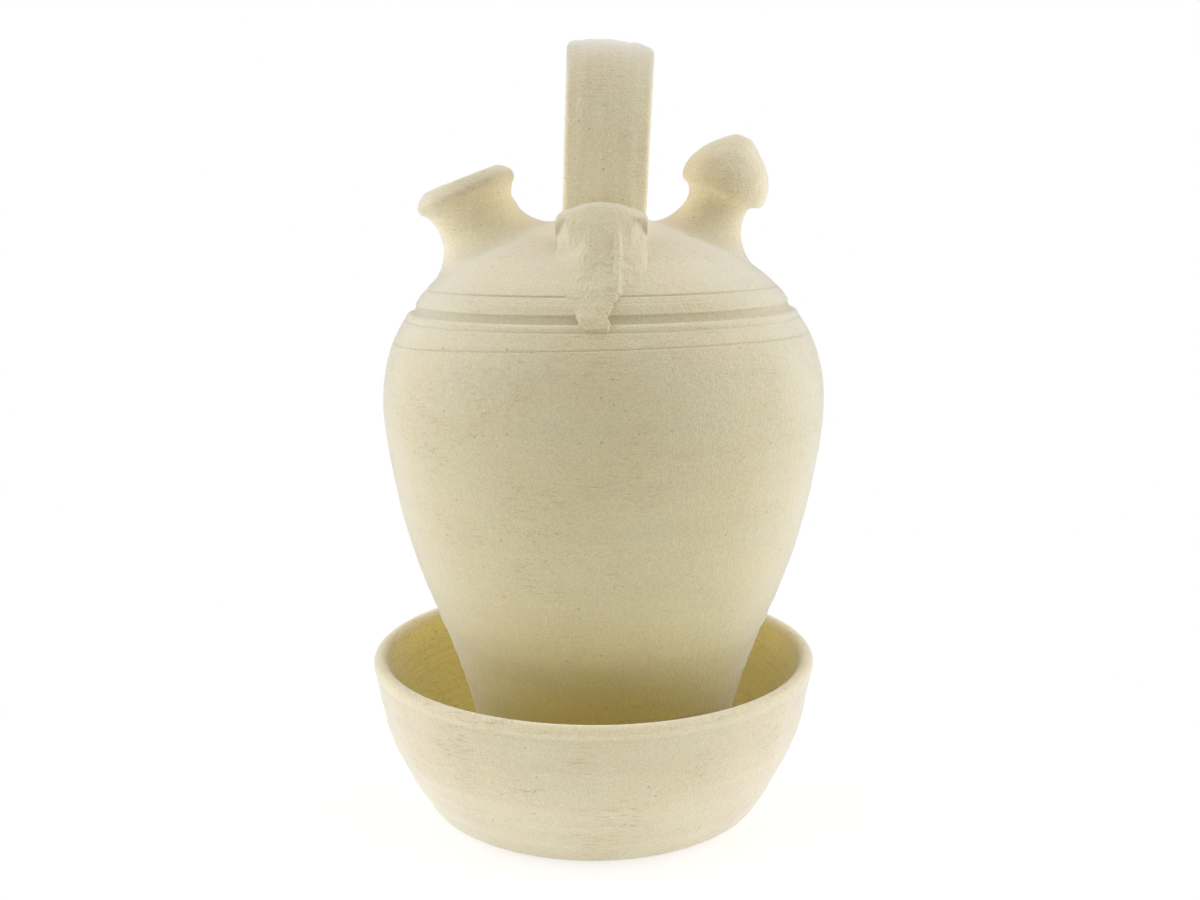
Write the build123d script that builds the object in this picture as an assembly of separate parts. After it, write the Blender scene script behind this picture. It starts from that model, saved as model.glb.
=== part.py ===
from build123d import *
import math
import os

# Spanish botijo: an unglazed water jug of white clay, standing in its drip dish. Lengths are in
# millimetres, +Z is up and the origin is the centre of the dish's flat underside. +X is the drinking
# spout's side, -X the filling mouth's, and the handle arches over the dome from -Y to +Y.

# Drip dish
dish_height = 61.0
dish_rim_radius = 91.0
dish_foot_radius = 69.5
dish_wall = 6.0
dish_floor = 7.0
dish_bulge = 3.8
dish_foot_round = 3.0
dish_floor_round = 9.0
dish_lip_height = 4.4
dish_lip_depth = 0.5

# Body of the jug, measured from the underside of its foot, which stands off the dish's axis
foot_radius = 47.0
foot_offset = 4.0
belly_radius = 88.0
belly_height = 160.0
crown_height = 231.5
body_wall = 5.5
body_floor = 7.0
foot_round = 2.0
chamber_round = 9.0

# The flank between the foot and the widest ring: share of the spread, share of the height
flank_shares = ((0.11, 0.12), (0.29, 0.30), (0.565, 0.49), (0.81, 0.68), (0.95, 0.86))

# The bands above the widest ring: share of the widest radius, share of the rise to the crown
seam_shares = (0.927, 0.378)
low_line_shares = (0.8875, 0.457)
groove_foot_shares = (0.8625, 0.498)
groove_head_shares = (0.8386, 0.536)
top_line_shares = (0.786, 0.622)
line_width = 1.2
line_depth = 0.6
groove_depth = 0.9
band_swell = 0.5

# Filling mouth: how far its foot stays from the dome's edge, how many degrees it stands more upright
# than the dome's own slope there, then its sizes along its axis from the dome outwards. Each pair of
# shares is of the radius and the height named before it.
mouth_edge_gap = 4.4
mouth_upright_angle = 1.3
mouth_height = 27.4
mouth_bore_radius = 12.0
mouth_waist_radius = 16.6
mouth_lip_radius = 20.4
mouth_flare_radius = 15.0
mouth_flare_angle = 62.0
mouth_waist_share = 0.36
mouth_neck_shares = (1.04, 0.58)
mouth_lip_foot_shares = (0.95, 0.68)
mouth_lip_side_share = 0.81
mouth_lip_top_share = 0.83
mouth_funnel_head_shares = (0.55, 0.96)
mouth_funnel_foot_share = 0.72

# Drinking spout: a narrow neck under a hollow pointed cap with a small hole in its tip
spout_edge_gap = 16.0
spout_upright_angle = 5.0
spout_height = 42.5
spout_bore_radius = 7.5
spout_waist_radius = 12.0
spout_cap_radius = 17.4
spout_cap_wall = 4.6
spout_hole_radius = 2.0
spout_hole_length = 4.0
spout_tip_wall = 1.2
spout_flare_radius = 18.0
spout_flare_angle = 52.0
spout_waist_share = 0.29
spout_neck_shares = (1.0, 0.36)
spout_cap_foot_shares = (0.95, 0.43)
spout_cap_side_share = 0.50
spout_cap_shares = ((0.965, 0.62), (0.75, 0.77), (0.45, 0.905))

# The holes in the dome under the mouth and the spout are cut this much wider than their bores
hole_ease = 0.8

# Handle strap: a flat arch with a crowned outer face, its feet drawn in a little
strap_width = 32.0
strap_thickness = 8.4
strap_crown = 2.4
strap_edge_share = 0.08
handle_rise = 66.8
handle_depth = 80.0
handle_foot_draw = 2.5
handle_lean_angle = 2.3

# Wads of clay that root the strap's feet: a crest, a straight face with a thumb's groove, and a
# narrow tail. The outline's shares are of half the width and of the height from tail to crest. The
# thumb's shares are of the way from the crest to the dome's edge and of the wad's thickness there.
root_width = 33.5
root_crest_rise = 4.6
root_crest_reach = 5.5
root_crest_slope = 3.0
root_grip = 5.0
root_edge_cover = 1.3
root_tail_thickness = 1.5
root_tail_shares = (0.883, 0.467)
root_outline_shares = ((0.27, 0.0), (0.29, 0.15), (0.45, 0.30), (0.66, 0.48), (0.88, 0.70), (1.0, 0.90))
thumb_radius = 13.0
thumb_place_share = 0.68
thumb_depth_share = 0.63
thumb_reach = 34.0
thumb_offset = 1.5

# How far a cutting tool or a hidden end runs past the faces that it has to clear
overrun = 3.0


def outline_at(radius_share, height_share):
    """Point of the body's outline above the widest ring, as radius and height."""
    rise = crown_height - belly_height
    return Vector(belly_radius * radius_share, belly_height + rise * height_share)


def outward_of(along):
    """Direction square to an outline that rises along a direction, pointing off the body."""
    return Vector(along.Y, -along.X).normalized()


def swelling(start, end, swell):
    """Arc from start to end whose middle stands off the straight line by the swell."""
    return ThreePointArc(start, (start + end) / 2 + outward_of(end - start) * swell, end)


def scored(before, place, after):
    """Start, bottom and end of a V line that is scored at one place of an outline."""
    along = (after - before).normalized()
    half = along * (line_width / 2)
    return place - half, place - outward_of(along) * line_depth, place + half


def turned(edges):
    """Solid of a closed outline of radius and height, turned about the upright axis."""
    return revolve(Plane.XZ * make_face(edges), Axis.Z)


def rounded(outline, corner, radius):
    """Outline with the corner that lies nearest to a point rounded."""
    return fillet(outline.vertices().sort_by_distance(corner)[0], radius)


# Named points of the body's outline, which the belly, the shoulder and what stands on them share
foot_edge = Vector(foot_radius, 0)
widest = Vector(belly_radius, belly_height)
low_line = outline_at(*low_line_shares)
groove_foot = outline_at(*groove_foot_shares)
groove_head = outline_at(*groove_head_shares)
top_line = outline_at(*top_line_shares)
crown = Vector(0, crown_height)
seam_start, seam_bottom, seam_end = scored(widest, outline_at(*seam_shares), low_line)
seam_inside = seam_bottom - Vector(body_wall - line_depth, 0)

# The dome is part of a sphere through the top line and the crown
dome_rise = crown_height - top_line.Y
dome_radius = (top_line.X**2 + dome_rise**2) / (2 * dome_rise)
dome_centre = crown_height - dome_radius
dome_angle = math.degrees(math.asin(top_line.X / dome_radius))

# The necks start this deep inside the dome, which then trims them
neck_sink = body_wall + overrun


def on_dome(angle, depth=0.0):
    """Point of the dome at an angle from the crown, or at a depth below its surface."""
    radius = dome_radius - depth
    turn = math.radians(angle)
    return Vector(radius * math.sin(turn), dome_centre + radius * math.cos(turn))


def make_dish():
    """Drip dish: a flat floor, a bulging wall and a rounded lip with a faint groove under it."""
    lip_round = dish_wall / 2
    foot = Vector(dish_foot_radius, 0)
    floor_edge = Vector(dish_foot_radius - dish_wall, dish_floor)
    under_lip = Vector(dish_rim_radius - dish_lip_depth, dish_height - dish_lip_height)
    lip_side = Vector(dish_rim_radius, dish_height - lip_round)
    lip_top = Vector(dish_rim_radius - lip_round, dish_height)
    lip_inside = Vector(dish_rim_radius - dish_wall, dish_height - lip_round)
    outline = make_face(
        [
            Line((0, 0), foot),
            swelling(foot, under_lip, dish_bulge),
            Line(under_lip, lip_side),
            ThreePointArc(lip_side, lip_top, lip_inside),
            swelling(floor_edge, lip_inside, dish_bulge),
            Polyline(floor_edge, (0, dish_floor), (0, 0)),
        ]
    )
    outline = rounded(outline, foot, dish_foot_round)
    outline = rounded(outline, floor_edge, dish_floor_round)
    return revolve(Plane.XZ * outline, Axis.Z)


def flank(start, inset):
    """Smooth flank from its lowest point to the widest ring, set in by a wall and upright there."""
    spread = belly_radius - foot_radius
    rising = [Vector(foot_radius + out * spread - inset, up * belly_height) for out, up in flank_shares]
    top = widest - Vector(inset, 0)
    return Spline(start, *rising, top, tangents=(rising[0] - start, Vector(0, 1)))


def make_belly():
    """Lower body: a flat base, the flank, and the flat ring that the shoulder is luted to."""
    chamber_edge = Vector(foot_radius - body_wall, body_floor)
    widest_inside = widest - Vector(body_wall, 0)
    outline = make_face(
        [
            Line((0, 0), foot_edge),
            flank(foot_edge, 0),
            TangentArc(widest, seam_start, tangent=(0, 1)),
            Polyline(seam_start, seam_bottom, seam_inside),
            TangentArc(widest_inside, seam_inside, tangent=(0, 1)),
            flank(chamber_edge, body_wall),
            Polyline(chamber_edge, (0, body_floor), (0, 0)),
        ]
    )
    outline = rounded(outline, foot_edge, foot_round)
    outline = rounded(outline, chamber_edge, chamber_round)
    return revolve(Plane.XZ * outline, Axis.Z)


def banded_outline():
    """Outer edges of the shoulder, from the seam up to the crown: lines, cordon, groove, roll, dome."""
    low_start, low_bottom, low_end = scored(seam_end, low_line, groove_foot)
    top_start, top_bottom, _ = scored(groove_head, top_line, crown)
    dome_sweep = dome_angle - math.degrees(line_width / 2 / dome_radius)
    sunk = outward_of(groove_head - groove_foot) * -groove_depth
    return [
        Polyline(seam_bottom, seam_end, low_start, low_bottom, low_end),
        swelling(low_end, groove_foot, band_swell),
        Polyline(groove_foot, groove_foot + sunk, groove_head + sunk, groove_head),
        swelling(groove_head, top_start, band_swell),
        Polyline(top_start, top_bottom, on_dome(dome_sweep)),
        CenterArc((0, dome_centre), dome_radius, 90 - dome_sweep, dome_sweep),
    ]


def make_core():
    """The shoulder's outer form as a filled solid, which trims everything that stands on it."""
    return turned(banded_outline() + [Polyline(crown, (0, seam_bottom.Y), seam_bottom)])


def make_shoulder():
    """Upper body: bands and dome on an even wall, with a hole under the mouth and the spout."""
    inner_turn = on_dome(dome_angle, body_wall)
    inner_edges = [
        Line(crown, on_dome(0, body_wall)),
        CenterArc((0, dome_centre), dome_radius - body_wall, 90 - dome_angle, dome_angle),
        Polyline(inner_turn, seam_inside, seam_bottom),
    ]
    shell = turned(banded_outline() + inner_edges)
    for seat, radius in ((mouth_seat, mouth_bore_radius), (spout_seat, spout_bore_radius)):
        shell -= seat * Cylinder(radius + hole_ease, 2 * (neck_sink + overrun))
    return shell


def dome_seat(foot_reach, edge_gap, upright_angle, side):
    """Plane on the dome for a neck whose foot stays a gap from the dome's edge, leaning to a side."""
    foot_turn = math.asin(foot_reach / dome_radius) + math.asin(edge_gap / dome_radius)
    place = dome_angle - math.degrees(foot_turn)
    seat = on_dome(place)
    turn = math.radians(place - upright_angle)
    normal = (side * math.sin(turn), 0, math.cos(turn))
    across = (math.cos(turn), 0, -side * math.sin(turn))
    return Plane(origin=(side * seat.X, 0, seat.Y), x_dir=across, z_dir=normal)


def flare(waist, radius, angle):
    """Concave foot of a neck: an arc that is upright at the waist and spreads onto the dome."""
    return CenterArc((waist.X + radius, waist.Y), radius, 180, angle)


def flare_reach(waist_radius, radius, angle):
    """How far a neck's flared foot reaches from the neck's axis."""
    return waist_radius + radius * (1 - math.cos(math.radians(angle)))


def make_mouth():
    """Filling mouth: a flared foot, a short neck and a thick rolled lip around a funnel."""
    waist = Vector(mouth_waist_radius, mouth_waist_share * mouth_height)
    neck = Vector(mouth_neck_shares[0] * mouth_waist_radius, mouth_neck_shares[1] * mouth_height)
    lip_foot = Vector(mouth_lip_foot_shares[0] * mouth_lip_radius, mouth_lip_foot_shares[1] * mouth_height)
    lip_side = Vector(mouth_lip_radius, mouth_lip_side_share * mouth_height)
    lip_top = Vector(mouth_lip_top_share * mouth_lip_radius, mouth_height)
    funnel_spread = mouth_funnel_head_shares[0] * (lip_top.X - mouth_bore_radius)
    funnel_head = Vector(mouth_bore_radius + funnel_spread, mouth_funnel_head_shares[1] * mouth_height)
    funnel_foot = Vector(mouth_bore_radius, mouth_funnel_foot_share * mouth_height)
    foot = flare(waist, mouth_flare_radius, mouth_flare_angle)
    hidden = Vector((foot @ 1).X, -neck_sink)
    outline = [
        foot,
        Polyline(waist, neck, lip_foot),
        ThreePointArc(lip_foot, lip_side, lip_top),
        Polyline(lip_top, funnel_head, funnel_foot, (mouth_bore_radius, -neck_sink), hidden, foot @ 1),
    ]
    return mouth_seat * turned(outline) - core


def make_spout():
    """Drinking spout: a flared foot, a narrow neck and a hollow cap that ends in the small hole."""
    waist = Vector(spout_waist_radius, spout_waist_share * spout_height)
    neck = Vector(spout_neck_shares[0] * spout_waist_radius, spout_neck_shares[1] * spout_height)
    cap_foot = Vector(spout_cap_foot_shares[0] * spout_cap_radius, spout_cap_foot_shares[1] * spout_height)
    cap_side = Vector(spout_cap_radius, spout_cap_side_share * spout_height)
    cap = [Vector(out * spout_cap_radius, up * spout_height) for out, up in spout_cap_shares]
    tip = Vector(spout_hole_radius + spout_tip_wall, spout_height)
    hole_foot = Vector(spout_hole_radius, spout_height - spout_hole_length)
    wall = Vector(spout_cap_wall, 0)
    hollow_foot = Vector(spout_bore_radius, neck.Y)
    foot = flare(waist, spout_flare_radius, spout_flare_angle)
    hidden = Vector((foot @ 1).X, -neck_sink)
    outline = [
        foot,
        Polyline(waist, neck, cap_foot),
        Spline(cap_foot, cap_side, *cap, tip),
        Polyline(tip, (spout_hole_radius, spout_height), hole_foot),
        Spline(hollow_foot, (cap_side + cap[0]) / 2 - wall, cap[1] - wall, hole_foot),
        Polyline(hollow_foot, (spout_bore_radius, -neck_sink), hidden, foot @ 1),
    ]
    return spout_seat * turned(outline) - core


def strap_section():
    """Section of the strap: flat on the arch's inside, crowned outside, with rounded edges."""
    half = strap_width / 2
    inside = strap_thickness / 2
    edge = strap_edge_share * strap_width
    right = [
        Vector(half - edge, inside),
        Vector(half, strap_crown / 2),
        Vector(half - edge / 2, strap_crown - inside),
    ]
    left = [Vector(-point.X, point.Y) for point in right]
    return make_face(
        [
            ThreePointArc(*right),
            ThreePointArc(right[2], (0, -inside), left[2]),
            ThreePointArc(*left),
            Line(left[0], right[0]),
        ]
    )


def make_strap():
    """Handle strap: two legs, drawn in a little at the foot, under a half ring, with a slight lean."""
    reach = (handle_depth - strap_thickness) / 2
    spring = crown_height + handle_rise - strap_thickness / 2 - reach
    corner_square = (handle_depth / 2) ** 2 + (strap_width / 2) ** 2
    foot_level = dome_centre + math.sqrt(dome_radius**2 - corner_square) - overrun
    foot = Vector(handle_foot_draw - reach, foot_level)
    front_leg = Plane.YZ * TangentArc((-reach, spring), foot, tangent=(0, -1))
    ring = Plane.YZ * ThreePointArc((-reach, spring), (0, spring + reach), (reach, spring))
    back_leg = Plane.YZ * TangentArc((reach, spring), (-foot.X, foot_level), tangent=(0, -1))
    route = Wire([front_leg, ring, back_leg])
    start = Plane(origin=front_leg @ 1, x_dir=(1, 0, 0), z_dir=-(front_leg % 1))
    arch = sweep(start * strap_section(), path=route)
    return Pos(0, 0, crown_height) * Rot(0, handle_lean_angle, 0) * Pos(0, 0, -crown_height) * arch - core


def make_root(turn):
    """Wad over one foot of the strap, made at the front and turned to its side."""
    off = outward_of(groove_foot - low_line)
    tail = outline_at(*root_tail_shares)
    tail_skin = tail + off * root_tail_thickness
    tail_foot = tail - off * overrun
    over_edge = top_line + off * root_edge_cover
    crest = Vector(handle_depth / 2 + root_crest_reach, crown_height + root_crest_rise)
    back = Vector(handle_depth / 2 - root_grip, crest.Y + root_crest_slope)
    side_view = Polyline(tail_skin, over_edge, crest, back, (back.X, tail_foot.Y), tail_foot, close=True)
    collar = turned(side_view)

    half = root_width / 2
    height = crest.Y - tail_foot.Y
    right = [Vector(out * half, tail_foot.Y + up * height) for out, up in root_outline_shares]
    left = [Vector(-point.X, point.Y) for point in right]
    top = back.Y + overrun
    head = Polyline(right[-1], (half, top), (-half, top), left[-1])
    front_view = make_face([Spline(*right), head, Spline(*left), Line(left[0], right[0])])
    tongue = extrude(Plane.XZ * front_view, tail_skin.X + overrun)

    # The thumb's groove runs down the wad's face, deepest between the crest and the dome's edge
    fall = over_edge - crest
    middle = crest + fall * thumb_place_share
    depth = thumb_depth_share * ((middle - Vector(0, dome_centre)).length - dome_radius)
    face = Plane(origin=(0, -middle.X, middle.Y), x_dir=(1, 0, 0), z_dir=(0, -fall.X, fall.Y))
    ends = [Vector(0, -thumb_reach), Vector(0, thumb_reach)]
    thumb = turned([ThreePointArc(ends[0], (thumb_radius, 0), ends[1]), Line(*ends)])
    groove = face * Pos(-thumb_offset, thumb_radius - depth, 0) * thumb
    wad = (collar & tongue) - groove
    return Rot(0, 0, turn) * wad - core - strap


mouth_foot_reach = flare_reach(mouth_waist_radius, mouth_flare_radius, mouth_flare_angle)
spout_foot_reach = flare_reach(spout_waist_radius, spout_flare_radius, spout_flare_angle)
mouth_seat = dome_seat(mouth_foot_reach, mouth_edge_gap, mouth_upright_angle, -1)
spout_seat = dome_seat(spout_foot_reach, spout_edge_gap, spout_upright_angle, 1)
core = make_core()
strap = make_strap()
seated = Pos(foot_offset, 0, dish_floor)
nodes = {
    "dish": make_dish(),
    "belly": seated * make_belly(),
    "shoulder": seated * make_shoulder(),
    "filling_mouth": seated * make_mouth(),
    "drinking_spout": seated * make_spout(),
    "handle_strap": seated * strap,
    "handle_front_root": seated * make_root(0),
    "handle_rear_root": seated * make_root(180),
}

os.makedirs("parts", exist_ok=True)
for name, shape in nodes.items():
    export_step(shape, f"parts/{name}.step")
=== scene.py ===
import math
from functools import partial

import bmesh
import bpy
import numpy as np
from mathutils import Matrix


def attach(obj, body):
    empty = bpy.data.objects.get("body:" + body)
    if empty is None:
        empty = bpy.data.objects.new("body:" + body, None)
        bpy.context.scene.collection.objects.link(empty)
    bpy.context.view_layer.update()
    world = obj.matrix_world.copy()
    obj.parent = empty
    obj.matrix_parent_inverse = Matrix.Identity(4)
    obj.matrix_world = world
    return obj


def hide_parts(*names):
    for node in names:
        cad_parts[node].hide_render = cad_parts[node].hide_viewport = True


bl_info = {
    "name": "Spanish Botijo",
    "version": (1, 0, 0),
    "blender": (4, 5, 0),
    "location": "3D View > Sidebar > Botijo",
    "description": "Dresses the packed model of an unglazed clay water jug and its drip dish",
    "category": "Add Mesh",
}

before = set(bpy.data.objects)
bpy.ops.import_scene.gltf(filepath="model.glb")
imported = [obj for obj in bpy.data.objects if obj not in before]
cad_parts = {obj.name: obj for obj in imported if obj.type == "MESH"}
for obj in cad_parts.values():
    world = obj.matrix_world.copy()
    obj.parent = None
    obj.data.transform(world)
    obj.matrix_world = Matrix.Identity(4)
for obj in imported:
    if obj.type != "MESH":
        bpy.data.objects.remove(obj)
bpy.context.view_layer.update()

MM = 0.001

# Where the jug stands, in millimetres: its axis is off the dish's, on the dish's floor
JUG_X = 4.0
JUG_FOOT = 7.0

# The jug's outline below the dome, as radius and height above the table
FLANK = ((47.75, 9.6), (51.5, 26.2), (58.9, 55.0), (70.2, 85.4), (80.2, 115.8), (85.95, 144.6), (88.0, 167.0),
         (85.95, 182.5), (81.58, 194.03), (78.1, 199.68), (75.9, 202.6), (73.8, 205.32), (69.17, 211.47))
FOOT_RADIUS = 47.0
FOOT_ROUND = 2.0
WALL = 5.5
# Lengths along the outline from the dome's edge down: to the line under the groove, and to the seam of
# belly and shoulder
LINE_BELOW_EDGE = 14.8
SEAM_BELOW_EDGE = 21.4

# The dome is part of a sphere, whose edge is the flank's last point
DOME_RADIUS = 102.02
DOME_CENTRE = 136.48
DOME_EDGE_ANGLE = 42.69

# The water chamber: its floor, its rounded corner's centre and radius, and where the belly's wall ends
CHAMBER_FLOOR = 14.0
CHAMBER_CORNER = 36.5
CHAMBER_ROUND = 9.0
CHAMBER_TOP = 188.0

# Each neck stands on the dome: its place and lean are angles from upright, towards -X or +X
MOUTH_SEAT = {"place": -26.28, "lean": -24.98, "bore": 12.0, "landing": 26.0, "hole": 12.8}
SPOUT_SEAT = {"place": 22.97, "lean": 17.97, "bore": 7.5, "landing": 21.4, "hole": 8.3}

# Each neck above its waist, as radius and height along its axis: waist, lip or cap, and down inside
MOUTH_TOP = ((16.4, 9.4), (16.1, 12.4), (16.4, 14.8), (17.4, 17.1), (18.9, 19.0), (19.8, 20.1), (20.0, 21.2),
             (19.7, 22.7), (19.0, 23.8), (18.0, 24.9), (16.5, 26.1), (15.0, 26.7), (13.7, 26.4), (12.9, 25.2),
             (12.4, 22.8), (12.0, 17.6))
SPOUT_TOP = ((11.8, 12.4), (11.9, 14.2), (12.4, 15.8), (13.6, 17.0), (15.4, 17.8), (16.8, 19.2), (17.2, 21.2),
             (17.0, 24.2), (15.9, 28.0), (14.2, 30.9), (12.3, 33.4), (8.9, 36.9), (5.1, 40.0), (3.4, 41.0),
             (2.4, 41.1), (2.0, 40.4), (2.0, 37.6), (4.8, 35.2), (8.6, 31.8), (11.2, 28.0), (12.2, 24.0),
             (11.0, 19.6), (8.0, 15.6), (7.5, 12.4))

# Rows of a neck's foot and of its bore, the angle in degrees at which the foot leaves the dome, and how
# deep its landing ring and its hidden underside lie under the dome's skin
FOOT_ROWS = 26
BORE_ROWS = 12
NECK_CREASE = 7.0
LANDING_DEPTH = 0.08
HIDDEN_DEPTHS = (1.6, 1.6, 1.2)

# The strap: its arch's radius and centre height, its thickness, its feet's height and inward draw, and
# its lean and twist in degrees, with the height that it leans about
STRAP = {"reach": 35.8, "spring": 265.05, "thickness": 8.4, "foot_level": 226.0, "foot_draw": 2.5,
         "lean": 2.3, "twist": 2.0, "hinge": 238.5}

# Along a wad, by the length below the dome's edge: its left and right edges, its heights at the left
# edge, in the middle and at the right edge without the crest's lip, the ridge's place, and how far the
# walls lean outwards
WAD = np.array([
    (-44.0, -13.4, 13.6, 1.1, 11.6, 1.1, 5.2, 0.0),
    (-41.0, -14.8, 15.0, 2.7, 12.1, 2.7, 5.2, -0.4),
    (-38.4, -16.9, 15.9, 3.5, 12.3, 3.5, 5.2, -1.4),
    (-35.4, -17.9, 16.3, 3.5, 12.1, 3.7, 5.2, -2.0),
    (-32.4, -17.8, 16.0, 3.0, 11.0, 3.5, 5.2, -0.8),
    (-28.5, -17.2, 15.4, 2.0, 9.5, 2.9, 5.2, 0.3),
    (-25.0, -17.2, 15.1, 0.9, 8.2, 2.5, 5.3, 0.8),
    (-22.0, -17.8, 14.9, 0.1, 7.1, 2.1, 5.4, 0.9),
    (-17.0, -18.3, 14.6, -0.14, 5.5, 1.3, 5.4, 0.9),
    (-12.0, -17.4, 14.0, -0.14, 3.8, 0.4, 5.3, 0.7),
    (-7.0, -15.6, 11.0, -0.14, 2.5, -0.04, 5.1, 0.8),
    (-3.0, -14.0, 7.4, -0.12, 1.75, 0.10, 4.9, 0.8),
    (0.0, -12.6, 4.9, -0.10, 1.40, 0.60, 4.8, 0.4),
    (3.8, -11.0, 3.0, -0.05, 1.30, 0.90, 4.4, 0.2),
    (6.8, -9.7, 2.0, 0.40, 1.35, 1.00, 4.0, 0.1),
    (9.0, -8.9, 1.0, 0.95, 1.35, 1.05, 3.5, 0.1),
    (11.6, -7.8, 2.3, 0.90, 1.25, 0.95, 3.5, 0.1),
    (14.4, -6.2, 0.9, 0.60, 0.95, 0.60, 3.5, 0.1),
])
# The crest's overhanging lip: how far it stands up, the lengths below the dome's edge between which it
# drops away, and the power that makes it low in the middle and high at the two ends
CREST_LIP = 4.9
CREST_DROP = (-31.4, -33.6)
CREST_POWER = 2.2

# The dish as radius and height: its outer wall, its lip and its hollow, and the rows of each
DISH_OUTER = ((69.9, 1.1), (72.3, 5.0), (75.2, 10.0), (79.2, 18.0), (83.8, 28.0), (87.0, 38.0), (89.0, 48.0),
              (90.35, 55.2))
DISH_LIP = ((90.35, 55.2), (90.42, 56.4), (90.85, 57.6), (90.95, 58.9), (90.2, 60.35), (88.4, 61.0),
            (86.5, 60.55), (85.3, 59.2), (84.8, 57.4), (84.4, 55.0))
DISH_HOLLOW = ((84.4, 55.0), (83.0, 48.0), (81.0, 38.0), (77.9, 28.5), (74.0, 20.5), (70.3, 14.6),
               (66.6, 10.6), (62.5, 8.2), (57.0, 7.15), (50.0, 7.0))
DISH_OUTER_ROWS = 74
DISH_LIP_ROWS = 38
DISH_HOLLOW_ROWS = 146
# Rows of the lip, from outside, that get no painted yellow bounce light
DISH_PLAIN_LIP_ROWS = 20

# The one porous, chalky clay in three finishes: wiped on the wheel, pulled by hand, and turned with a rib
FINISHES = {
    "jug": "Unglazed white clay, thrown and wiped",
    "strap": "Unglazed white clay, pulled lengthwise",
    "dish": "Unglazed white clay, turned in rings",
}


# Curves and grids


def through(stations, values, at):
    """Natural cubic spline through the values: between two stations a step h apart, with A and B the
    shares of the way to each, y = A y0 + B y1 + ((A^3 - A) m0 + (B^3 - B) m1) h^2 / 6, where the
    second slopes m solve h0 m0 + 2 (h0 + h1) m1 + h1 m2 = 6 (slope1 - slope0)."""
    stations, values, at = np.asarray(stations, float), np.asarray(values, float), np.asarray(at, float)
    step = np.diff(stations)
    rows = np.arange(1, len(stations) - 1)
    system = np.eye(len(stations))
    system[rows, rows - 1] = step[:-1]
    system[rows, rows] = 2 * (step[:-1] + step[1:])
    system[rows, rows + 1] = step[1:]
    slope = (np.diff(values, axis=0).T / step).T
    known = np.zeros_like(values)
    known[1:-1] = 6 * np.diff(slope, axis=0)
    bend = np.linalg.solve(system, known)
    low = np.clip(np.searchsorted(stations, at, side="right") - 1, 0, len(step) - 1)
    span = step[low]
    high_share = (at - stations[low]) / span
    low_share = 1 - high_share
    if values.ndim > 1:
        high_share, low_share, span = high_share[..., None], low_share[..., None], span[..., None]
    curved = (low_share**3 - low_share) * bend[low] + (high_share**3 - high_share) * bend[low + 1]
    return low_share * values[low] + high_share * values[low + 1] + curved * span**2 / 6


def measured(curve):
    """Length along a curve at each of its points."""
    return np.concatenate([[0.0], np.cumsum(np.linalg.norm(np.diff(curve, axis=0), axis=1))])


def along_points(points, count):
    """Smooth curve through points, sampled evenly by the points' own spacing."""
    points = np.asarray(points, float)
    stations = measured(points)
    return through(stations, points, np.linspace(0, stations[-1], count))


def outward(curve):
    """Normals of a curve of radius and height, off the clay where it climbs outside and falls inside."""
    slope = np.gradient(curve, axis=0)
    slope /= np.linalg.norm(slope, axis=1, keepdims=True)
    return np.stack([slope[:, 1], -slope[:, 0]], -1)


def eased(value, low, high):
    """Smooth step from 0 at low to 1 at high: t^2 (3 - 2 t)."""
    share = np.clip((np.asarray(value, float) - low) / (high - low), 0, 1)
    return share * share * (3 - 2 * share)


def plateau(value, foot, rise, fall, end):
    """Smooth hill of height 1: up from foot to rise, and down again from fall to end."""
    return eased(value, foot, rise) * (1 - eased(value, fall, end))


def bump(value, place, width):
    """Bell of height 1: exp(-((value - place) / width)^2)."""
    return np.exp(-(((np.asarray(value, float) - place) / width) ** 2))


def ripple(along, turn, seed, lengths, heights):
    """Finger rings that climb as a helix: the sum of h sin(2 pi along / length + m turn + phase), with
    m whole so that each ring meets itself after a turn."""
    draws = np.random.default_rng(seed)
    total = np.zeros(np.broadcast(along, turn).shape)
    for length, height in zip(lengths, heights):
        climb = draws.integers(-1, 2) * turn
        total += height * np.sin(2 * np.pi * along / length + climb + draws.uniform(0, 6.28))
    return total


def wander(x, y, seed, size, count=24):
    """Soft random field between about -1 and 1: plane waves of random heading and a given size."""
    draws = np.random.default_rng(seed)
    heading = draws.uniform(0, 2 * np.pi, count)
    number = 2 * np.pi / (size * draws.uniform(0.7, 1.6, count))
    phase = draws.uniform(0, 2 * np.pi, count)
    total = np.zeros(np.broadcast(x, y).shape)
    for angle, wave, start in zip(heading, number, phase):
        total += np.sin(wave * (x * math.cos(angle) + y * math.sin(angle)) + start)
    return total / math.sqrt(count)


def turn_angles(columns):
    """Angles of the columns, once round."""
    return np.arange(columns) * (2 * np.pi / columns)


def round_axis(radius, turn, level, axis_x=JUG_X):
    """Points at a radius and a turn about an upright axis, the jug's if no other is given."""
    return np.stack([axis_x + radius * np.cos(turn), radius * np.sin(turn), level + 0 * turn], -1)


def add_mesh(name, places, faces):
    """A new object of the scene, with its mesh of points in millimetres and faces."""
    mesh = bpy.data.meshes.new(name)
    mesh.from_pydata((places * MM).tolist(), [], faces)
    thing = bpy.data.objects.new(name, mesh)
    bpy.context.scene.collection.objects.link(thing)
    return thing


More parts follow.
